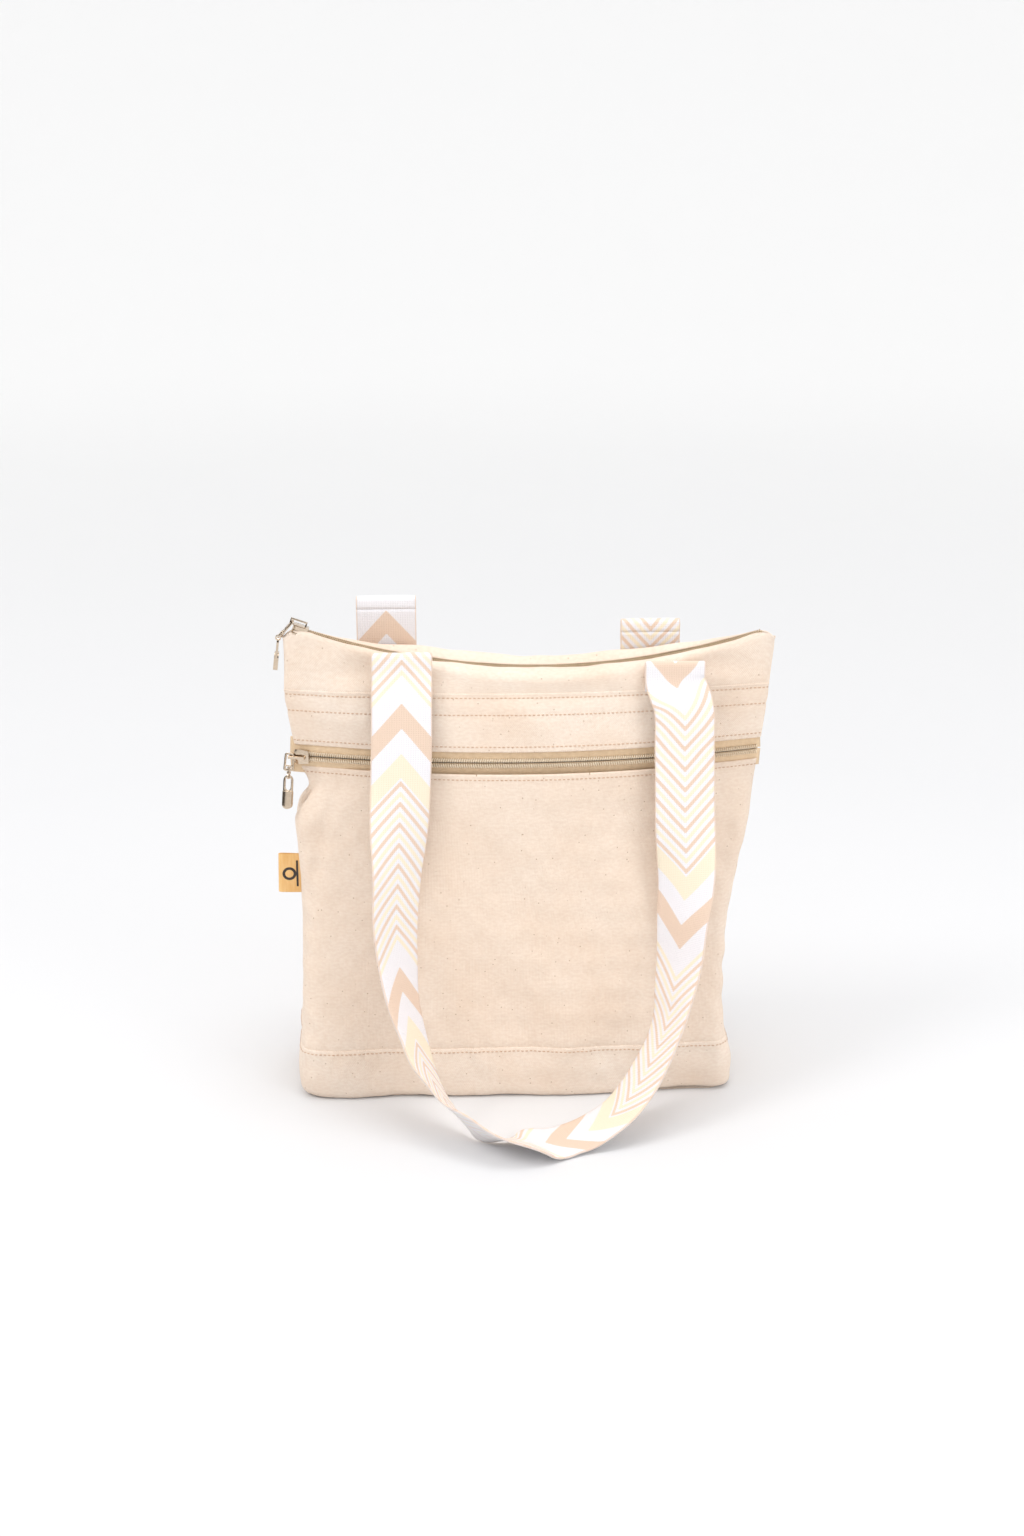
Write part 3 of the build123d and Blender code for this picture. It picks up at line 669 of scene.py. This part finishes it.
def lip_weight(y, wall_y):
    share = np.abs(y) / np.maximum(np.abs(wall_y), 5.0)
    return 1 - (1 - SHOULDER_WEIGHT) * smooth_step((share - 0.3) / 0.7)


def wall_depth(x, z):
    """Half depth of the smooth bag at a place."""
    left, right = LEFT(z), RIGHT(z)
    middle, a = (left + right) / 2, (right - left) / 2
    turn = TURN(z)
    face = np.clip((x - middle) / (a - turn), -1, 1)
    return DEPTH(z) - (DEPTH(z) - CORNER(z)) * face ** 2


def add_yoke(where, side):
    """The strip above the seam: up the wall, then over the shoulder to the top zip."""
    low = YOKE_SEAM + SEAM
    grid = np.array([outline(side, low + (YOKE_TOP - low) * k) for k in np.linspace(0, 1, YOKE_LEVELS)])
    x_top = grid[-1][:, 0]
    top = wall_top(side, x_top)
    rows = []
    for k in np.linspace(0, 1, WALL_ROWS + 1):
        z = low + (top - low) * k
        at = np.clip((z - low) / (YOKE_TOP - low) * (YOKE_LEVELS - 1), 0, YOKE_LEVELS - 1)
        i = np.minimum(at.astype(int), YOKE_LEVELS - 2)
        f = (at - i)[:, None]
        col = np.arange(grid.shape[1])
        rows.append(grid[i, col] * (1 - f) + grid[i + 1, col] * f)
    wall = rows[-1]
    inner_y = side * np.minimum(ZIP_EDGE, np.abs(wall[:, 1]) * 0.55)
    inner_z = chain_height(wall[:, 0]) + 0.7
    hump = (3.4 if side > 0 else 1.2) * smooth_step((np.abs(wall[:, 1]) - 5) / 8)
    for k in np.linspace(0, 1, SHOULDER_ROWS + 1)[1:]:
        phi = k * pi / 2
        y = inner_y + (wall[:, 1] - inner_y) * np.cos(phi)
        z = wall[:, 2] + (inner_z - wall[:, 2]) * sin(phi) + hump * sin(2 * phi)
        rows.append(np.stack([wall[:, 0], y, z], 1))
    grid = np.array(rows)
    for _ in range(4):
        grid[:, 1:-1] = 0.5 * grid[:, 1:-1] + 0.25 * (grid[:, :-2] + grid[:, 2:])
        grid[1:-1] = 0.5 * grid[1:-1] + 0.25 * (grid[:-2] + grid[2:])
    out = normals(grid, side)
    out[:, 0] = unit(out[:, 0] * (1, 0, 1))
    out[:, -1] = unit(out[:, -1] * (1, 0, 1))
    fade = np.linspace(1, 0, len(grid))[:, None] ** 0.6
    lift = softness(side, grid) * fade
    lift += 0.35 * (1 - fade) * ripple(grid[..., 0], grid[..., 1], 26, 77 + side)
    grid = grid + out * lift[..., None]
    grid[:, (0, -1), 1] = 0.0
    out = normals(grid, side)
    piece = shell(f"{where}_yoke_cloth", grid, out, 1.3, TWILL)
    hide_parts(f"{where}_yoke")
    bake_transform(piece)
    points = np.array([v.co for v in piece.data.vertices]) / MM
    up = smooth_step((points[:, 2] - low - 1.5) / 12)
    weights = up * lip_weight(points[:, 1], wall_depth(points[:, 0], 285.0))


for where, side in (("front", -1), ("back", 1)):
    add_yoke(where, side)
    lip = f"mouth_{where}"
    node = f"top_zip_{where}_tape"
    tape = add_tape(node, top_chain, TOP_ANGLES, side, (0, 1, 0),
                    lambda p: np.clip(wall_depth(p[:, 0], p[:, 2]) - 3.2, 1.2, 10.5), 0.7, PALE_TAPE)
    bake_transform(tape)
    at = np.array([v.co for v in tape.data.vertices]) / MM
    weights = lip_weight(at[:, 1], wall_depth(at[:, 0], 285.0))
    add_coil(f"top_zip_{where}_coil", top_chain, TOP_ANGLES, side, (0, 1, 0), TOP_R, COIL_PALE, lip)

for job in INNER_JOBS:
    add_inner(*job)

# ---- topstitching: separate stitches laid along the seams ----
STITCH_PITCH, STITCH_LENGTH, STITCH_R = 2.8, 2.0, 0.31
# share of the stitch's length, share of its thickness, and rise in thicknesses
STITCH_SHAPE = ((0.0, 0.35, -0.9), (0.22, 1.0, 0.35), (0.5, 1.0, 0.6), (0.78, 1.0, 0.35),
                (1.0, 0.35, -0.9))


def seam_line(panel, z, margin=3.0):
    """Points and outward directions along a panel at height z, STITCH_PITCH apart."""
    heights, outer, out = PANELS[panel]
    i = int(np.clip(np.searchsorted(heights, z) - 1, 0, len(heights) - 2))
    f = (z - heights[i]) / (heights[i + 1] - heights[i])
    line, way = ((g[i] * (1 - f) + g[i + 1] * f) for g in (outer, out))
    run = np.concatenate([[0], np.cumsum(np.linalg.norm(np.diff(line, axis=0), axis=1))])
    stops = np.arange(margin, run[-1] - margin, STITCH_PITCH)
    return lambda s: (np.array([np.interp(s, run, line[:, k]) for k in range(3)]),
                      unit(np.array([np.interp(s, run, way[:, k]) for k in range(3)]))), stops


def add_stitches(name, jobs):
    points, faces, total = [], [], 0
    for panel, z in jobs:
        at, stops = seam_line(panel, z)
        for s in stops:
            path = []
            for share, _, rise in STITCH_SHAPE:
                point, way = at(s + share * STITCH_LENGTH)
                path.append(point + way * rise * STITCH_R)
            ring, quads = tube_parts(path, [STITCH_R * size for _, size, _ in STITCH_SHAPE], 6)
            points.append(ring)
            faces += [tuple(k + total for k in face) for face in quads]
            total += len(ring)
    points = np.concatenate(points)
    return make_object(name, points, faces, "bag", points[:, (0, 2, 1)], THREAD)


add_stitches("bag_stitching", [
    ("front_band", BAND_TOP - 2.2), ("back_band", BAND_TOP - 2.2),
    ("front_pocket_panel", ZIP_LOW - 3.4), ("front_upper_panel", ZIP_HIGH + 3.4),
    ("front_upper_panel", 252.0), ("front_upper_panel", YOKE_SEAM - 2.6),
    ("back_panel", 252.0), ("back_panel", YOKE_SEAM - 2.6)])

# ---- straps: the route of the webbing, as in the frame: middle, and way across it ----
LEFT_STRAND = [
    ((-70.1, -25.5, 263), (1, 0, 0)), ((-70.5, -31.5, 239), (1, 0, 0)),
    ((-72.0, -39.0, 202), (1, 0.1, 0)), ((-74.7, -50.0, 153), (0.79, 0.61, 0)),
    ((-76.0, -55.0, 130), (0.74, 0.67, 0)), ((-74.9, -60.0, 103), (0.63, 0.77, 0)),
    ((-72.2, -67.0, 80), (0.5, 0.85, -0.12)), ((-65.6, -76.0, 57), (0.38, 0.9, -0.2)),
    ((-60.9, -84.1, 44.3), (0.35, 0.87, -0.32)), ((-52.7, -94.0, 31.3), (0.2, 0.88, -0.4)),
    ((-41.5, -108.0, 21), (0.2, 0.8, -0.55)), ((-30.0, -119.0, 15.5), (0.1, 0.71, -0.7)),
]
LOW_LOOP = [
    ((-14.0, -126.0, 11.5), (0.05, 0.87, -0.5)), ((1.0, -126.0, 8.5), (0.05, 0.95, -0.32)),
    ((15.0, -119.5, 4.0), (-0.05, 1, 0)), ((28.5, -112.5, 2.5), (-0.3, 0.95, 0)),
    ((40.0, -108.5, 4.5), (-0.3, 0.95, 0)),
]
RIGHT_STRAND = [
    ((49.4, -106.4, 9), (-0.3, 0.95, -0.03)), ((61.3, -102.1, 16.2), (-0.36, 0.93, -0.1)),
    ((74.2, -94.7, 28.8), (-0.43, 0.88, -0.18)), ((83.7, -86.0, 41.6), (-0.44, 0.86, -0.26)),
    ((91.5, -77.4, 54), (-0.4, 0.88, -0.27)), ((96.7, -71.2, 67.6), (-0.44, 0.87, -0.22)),
    ((99.6, -65.8, 81.7), (-0.56, 0.81, -0.16)), ((102.5, -61.0, 97), (-0.65, 0.75, -0.1)),
    ((105.1, -55.0, 126.6), (-0.78, 0.62, -0.05)), ((107.0, -51.6, 142), (-0.86, 0.51, -0.05)),
    ((106.9, -40.5, 192), (-1, 0.05, 0)), ((106.8, -32.5, 230), (-1, 0, 0)),
    ((106.0, -26.5, 258), (-1, 0, 0)),
]
FOLDS = {"front": [(-69.7, -18.9, 289.5), (101.4, -19.6, 282.0)],
         "back": [(-79.0, 19.5, 318.0), (89.5, 20.0, 301.0)]}
BACK_SHIFT = -9.0
FIRST_TAN, LAST_TAN = 40.0, 25.0        # from the folds to the first and last wide chevron
REPEAT = 165.0          # length of the pattern, before it is fitted to the strap
BACK_PHASE = 1.0        # where the back strap's wide chevron lies, beyond its left fold
LEG_SIDE = 14.0         # from a leg's middle to where it meets the wall
LEG_SET_BACK = {"front": 3.3, "back": 4.1}      # from the hanging webbing to the leg behind it


def through(points, step=2.5):
    """Smooth line through points; the first three numbers of each are its place."""
    points = np.array(points, float)
    gap = np.linalg.norm(np.diff(points[:, :3], axis=0), axis=1)
    slope = np.diff(points, axis=0) / gap[:, None]
    inner = slope[:-1] * gap[1:, None] + slope[1:] * gap[:-1, None]
    inner = inner / (gap[:-1] + gap[1:])[:, None]
    tangent = np.vstack([slope[:1], inner, slope[-1:]])
    line = []
    for i, h in enumerate(gap):
        for t in np.linspace(0, 1, max(2, ceil(h / step)), endpoint=False):
            line.append(points[i] * (1 + 2 * t) * (1 - t) ** 2 + points[i + 1] * t * t * (3 - 2 * t)
                        + h * tangent[i] * t * (1 - t) ** 2 - h * tangent[i + 1] * t * t * (1 - t))
    return np.array(line + [points[-1]])


FACE_POINTS = 15        # points across one face of the webbing
CUP = 0.35              # how far the webbing's edges bend back


def ribbon_parts(stations, outward, start=0.0):
    """Flat webbing along stations; its cloth coordinates are along, across and face."""
    path = through([(*c, *w) for c, w in stations])
    middle, across = path[:, :3], path[:, 3:]
    way = unit(np.gradient(middle, axis=0))
    across = unit(across - way * (across * way).sum(1, keepdims=True))
    out = np.cross(across, way) * outward
    run = start + np.concatenate([[0], np.cumsum(np.linalg.norm(np.diff(middle, axis=0), axis=1))])
    half, thick = WEBBING / 2, WEBBING_THICK / 2
    flat = np.linspace(-1, 1, FACE_POINTS)
    section = [(w * (half - 0.5), thick - CUP * w * w * 0.5, 1.0) for w in flat]
    section += [(half, 0.0, 1.0)]
    section += [(w * (half - 0.5), -thick - CUP * w * w * 0.5, 0.0) for w in flat[::-1]]
    section += [(-half, 0.0, 1.0)]
    points, weave = [], []
    for w, n, face in section:
        points.append(middle + across * w + out * n)
        weave.append(np.stack([run, np.full_like(run, w), np.full_like(run, face)], 1))
    points, weave = np.stack(points, 1), np.stack(weave, 1)
    rows, cols = points.shape[:2]
    faces = [(i * cols + j, i * cols + (j + 1) % cols, (i + 1) * cols + (j + 1) % cols, (i + 1) * cols + j)
             for i in range(rows - 1) for j in range(cols)]
    n = FACE_POINTS
    for a in (0, (rows - 1) * cols):
        faces += [(a + j, a + j + 1, a + 2 * n - j - 1, a + 2 * n - j) for j in range(n - 1)]
        faces += [(a + n - 1, a + n, a + n + 1), (a + 2 * n, a + 2 * n + 1, a)]
    return points.reshape(-1, 3), faces, weave.reshape(-1, 3), run


def fold_over(x, y, z, side, way, set_back):
    """Stations from the top of a leg over the fold to the hanging webbing."""
    behind = y - side * set_back
    return [((x, behind, z - 6), way), ((x, behind, z - 1.5), way),
            ((x, behind + side * 0.4, z + 0.5), way), ((x, (y + behind) / 2, z + 1.5), way),
            ((x, y - side * 0.4, z + 0.5), way), ((x, y, z - 1.5), way),
            ((x, y + side * 0.9, z - 9), way)]


def add_strap(where, side):
    """The hanging loop of webbing, and the two sewn legs behind its folds."""
    left, right = FOLDS[where]
    shift = BACK_SHIFT if side > 0 else 0.0
    hanging = [((x + shift, -side * y, z), (wx, -side * wy, wz))
               for (x, y, z), (wx, wy, wz) in LEFT_STRAND + LOW_LOOP + RIGHT_STRAND]
    set_back = LEG_SET_BACK[where]
    stations = fold_over(*left, side, (1, 0, 0), set_back) + hanging
    stations += fold_over(*right, side, (-1, 0, 0), set_back)[::-1]
    points, faces, weave, run = ribbon_parts(stations, side)
    length = run[-1]
    whole = length - FIRST_TAN - LAST_TAN
    repeat = whole / round(whole / REPEAT)
    # the back strap's pattern runs the other way, from its right fold to its left one
    start = FIRST_TAN if side < 0 else length + BACK_PHASE
    if side > 0:
        weave[:, 0] = length - weave[:, 0]
    material = webbing(f"webbing_{where}", repeat, start)
    piece = make_object(f"{where}_strap_webbing", points, faces, None, weave, material)
    fix_normals(piece)
    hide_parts(f"{where}_strap")
    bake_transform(piece)
    # the sewn legs that rise behind the folds
    leg_points, leg_faces, leg_weave, count = [], [], [], 0
    for (x, y, z), way in ((left, (1, 0, 0)), (right, (-1, 0, 0))):
        behind = y - side * set_back
        wall = wall_depth(x + (LEG_SIDE if x < 0 else -LEG_SIDE), YOKE_SEAM)
        seam = side * (wall + 1.5)
        path = [((x, side * (wall - 1.2), YOKE_SEAM - 2.2), way), ((x, seam, YOKE_SEAM + 2.5), way),
                ((x, (seam + behind) / 2 + side * 0.5, (YOKE_SEAM + z) / 2), way),
                ((x, behind, z - 6), way)]
        if x > 0:
            path = path[::-1]
        more, quads, cloth, leg_run = ribbon_parts(path, side, 0.0 if x < 0 else length)
        if x < 0:
            cloth[:, 0] -= leg_run[-1]
        if side > 0:
            cloth[:, 0] = length - cloth[:, 0]
        leg_points.append(more)
        leg_weave.append(cloth)
        leg_faces += [tuple(k + count for k in face) for face in quads]
        count += len(more)
    legs = make_object(f"{where}_strap_leg_pair", np.concatenate(leg_points), leg_faces, None,
                       np.concatenate(leg_weave), material)
    fix_normals(legs)
    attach(legs, "bag")
    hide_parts(f"{where}_strap_legs")


for where, side in (("front", -1), ("back", 1)):
    add_strap(where, side)

# ---- label: a folded ribbon in the left side seam ----
low, high = node_box("side_label")
REACH = high[0] - low[0]
bend = [(0.0, -0.55), (-0.3, -0.75), (-0.7, -0.9), (-0.95, -0.6), (-1.0, 0.0), (-0.95, 0.6), (-0.7, 0.9),
        (-0.3, 0.75), (0.0, 0.55)]
turns = through([(high[0] + 1.0 + bx * (REACH + 1.0), by, 0) for bx, by in bend], 1.0)
heights = np.linspace(low[2], high[2], 15)
loop = np.array([[(p[0] + 0.02 * (z - low[2]), p[1] + 0.25 * sin(z * 0.25), z + 0.04 * (high[0] - p[0]))
                  for p in turns] for z in heights])
label = shell("side_label_ribbon", loop, normals(loop, -1), 0.35, None, "bag")
data = label.data
place = np.array([v.co for v in data.vertices]) / MM
cloth = np.stack([high[0] - place[:, 0], place[:, 2], 0 * place[:, 0]], 1)
data.attributes["weave"].data.foreach_set("vector", cloth.astype(np.float32).ravel())
data.materials.append(label_satin("label_satin_orange", low[2], high[2], REACH))
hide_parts("side_label")

# ---- metal: each CAD piece keeps its shape and gets softened edges ----
METAL_NODES = [f"{zip_name}_{part}" for zip_name in ("top", "pocket")
               for part in ("slider", "pull_ring", "pull_swivel", "pull_bar")]
EDGE_ROUND = 0.22       # radius of the softened edges


def add_polished(node):
    """The CAD piece itself, with softened edges; its node and its body share a name."""
    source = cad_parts[node]
    mesh = source.data.copy()
    shape = bmesh.new()
    shape.from_mesh(mesh)
    shape.transform(source.matrix_world)
    bmesh.ops.remove_doubles(shape, verts=shape.verts, dist=1e-5)
    bmesh.ops.dissolve_limit(shape, angle_limit=radians(2), verts=shape.verts, edges=shape.edges)
    shape.to_mesh(mesh)
    shape.free()
    piece = bpy.data.objects.new(node + "_polished", mesh)
    bpy.context.scene.collection.objects.link(piece)
    bevel = piece.modifiers.new("soft_edges", "BEVEL")
    bevel.width = EDGE_ROUND * MM
    bevel.segments = 3
    bevel.limit_method = "ANGLE"
    bevel.angle_limit = radians(35)
    view = bpy.context.evaluated_depsgraph_get()
    piece.data = bpy.data.meshes.new_from_object(piece.evaluated_get(view))
    piece.modifiers.clear()
    piece.data.materials.clear()
    piece.data.materials.append(METAL)
    for polygon in piece.data.polygons:
        polygon.use_smooth = True
        polygon.material_index = 0
    piece.data.set_sharp_from_angle(angle=radians(40))
    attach(piece, node)
    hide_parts(node)


for node in METAL_NODES:
    add_polished(node)

# ---- floor: a wide pale dish whose rim curves up on every side ----
FLAT_R, RIM_R, RINGS, SECTORS = 2.7, 1.3, 10, 96
profile = [(0.0, 0.0), (0.5, 0.0), (1.4, 0.0), (FLAT_R, 0.0)]
profile += [(FLAT_R + RIM_R * sin(a), RIM_R * (1 - cos(a))) for a in np.linspace(0, pi / 2, RINGS)[1:]]
profile += [(FLAT_R + RIM_R, RIM_R + 0.5)]
points = [(r * cos(t) / MM, r * sin(t) / MM, z / MM) for r, z in profile[1:]
          for t in np.linspace(0, 2 * pi, SECTORS, endpoint=False)]
faces = [(i * SECTORS + k, (i + 1) * SECTORS + k, (i + 1) * SECTORS + (k + 1) % SECTORS,
          i * SECTORS + (k + 1) % SECTORS) for i in range(len(profile) - 2) for k in range(SECTORS)]
faces.append(tuple(range(SECTORS)))
floor_finish = Finish("floor_pale", 0.9)
floor_place = floor_finish.node("ShaderNodeTexCoord").outputs["Object"]
floor_reach = floor_finish.node("ShaderNodeVectorMath", {0: floor_place},
                                operation="LENGTH").outputs["Value"]
# painted light and shade: darker in the middle, where the lamps fall strongest, lighter up the rim, which
# they reach less; a faint noise mottles the tone
floor_falloff_and_mottle = floor_finish.math("ADD", floor_finish.math("DIVIDE", floor_reach, FLAT_R + RIM_R),
                               floor_finish.math("MULTIPLY", floor_finish.noise(floor_place, 3.0), 0.03))
floor = make_object("floor", points, faces, material=floor_finish.paint(
    floor_finish.ramp(floor_falloff_and_mottle, [(0.2, (0.745, 0.745, 0.755)), (0.8, (0.93, 0.93, 0.93))])))

# ---- light: a bright even sky and two wide soft lamps ----
world = bpy.data.worlds.new("studio")
bpy.context.scene.world = world
world.use_nodes = True
world.node_tree.nodes["Background"].inputs["Color"].default_value = (1.0, 1.0, 1.0, 1.0)
world.node_tree.nodes["Background"].inputs["Strength"].default_value = 0.97


def aim(thing, target):
    """Turn a lamp or the camera towards a place."""
    way = Vector(target) - thing.location
    thing.rotation_euler = way.to_track_quat("-Z", "Y").to_euler()


def add_lamp(name, place, target, size, watts, tint=(1, 1, 1)):
    lamp = bpy.data.lights.new(name, "AREA")
    lamp.shape = "DISK"
    lamp.size = size
    lamp.energy = watts
    lamp.color = tint
    holder = bpy.data.objects.new(name, lamp)
    bpy.context.scene.collection.objects.link(holder)
    holder.location = place
    aim(holder, target)


add_lamp("key", (-1.3, -0.7, 1.8), (0, 0, 0.15), 0.8, 11)
add_lamp("top", (0.2, -0.1, 2.2), (0, 0, 0.1), 1.2, 11)
add_lamp("fill", (1.5, -1.3, 0.8), (0, 0, 0.12), 1.2, 7)

# dark flags stand outside the view, and only polished metal sees them
FLAGS = (((-1.8, -0.7, 0.1), 1.5), ((1.7, -1.2, 0.1), 1.3), ((0.1, -2.2, 0.1), 1.6))
for k, (place, size) in enumerate(FLAGS):
    w, h = size / 2 / MM, size / MM
    flag = make_object(f"flag_{k}", [(-w, 0, 0), (0, 0, 0), (w, 0, 0), (-w, 0, h), (0, 0, h), (w, 0, h)],
                       [(0, 1, 4, 3), (1, 2, 5, 4)], material=FLAG)
    flag.location = place
    flag.rotation_euler = (0, 0, float(np.arctan2(place[1], place[0])) - pi / 2)
    flag.visible_camera = flag.visible_diffuse = flag.visible_shadow = False

# ---- camera at the photograph's angle ----
AZIMUTH, ELEVATION, DISTANCE, AIM_HEIGHT = -3.0, 17.5, 1.370, 0.210
camera_data = bpy.data.cameras.new("camera")
camera_data.lens = 50
camera_data.sensor_fit = "VERTICAL"
camera_data.sensor_height = 36
camera = bpy.data.objects.new("camera", camera_data)
bpy.context.scene.collection.objects.link(camera)
flat = DISTANCE * cos(radians(ELEVATION))
camera.location = (flat * sin(radians(AZIMUTH)), -flat * cos(radians(AZIMUTH)),
                   AIM_HEIGHT + DISTANCE * sin(radians(ELEVATION)))
aim(camera, (0, 0, AIM_HEIGHT))
bpy.context.scene.camera = camera
bpy.context.scene.view_settings.view_transform = "Standard"
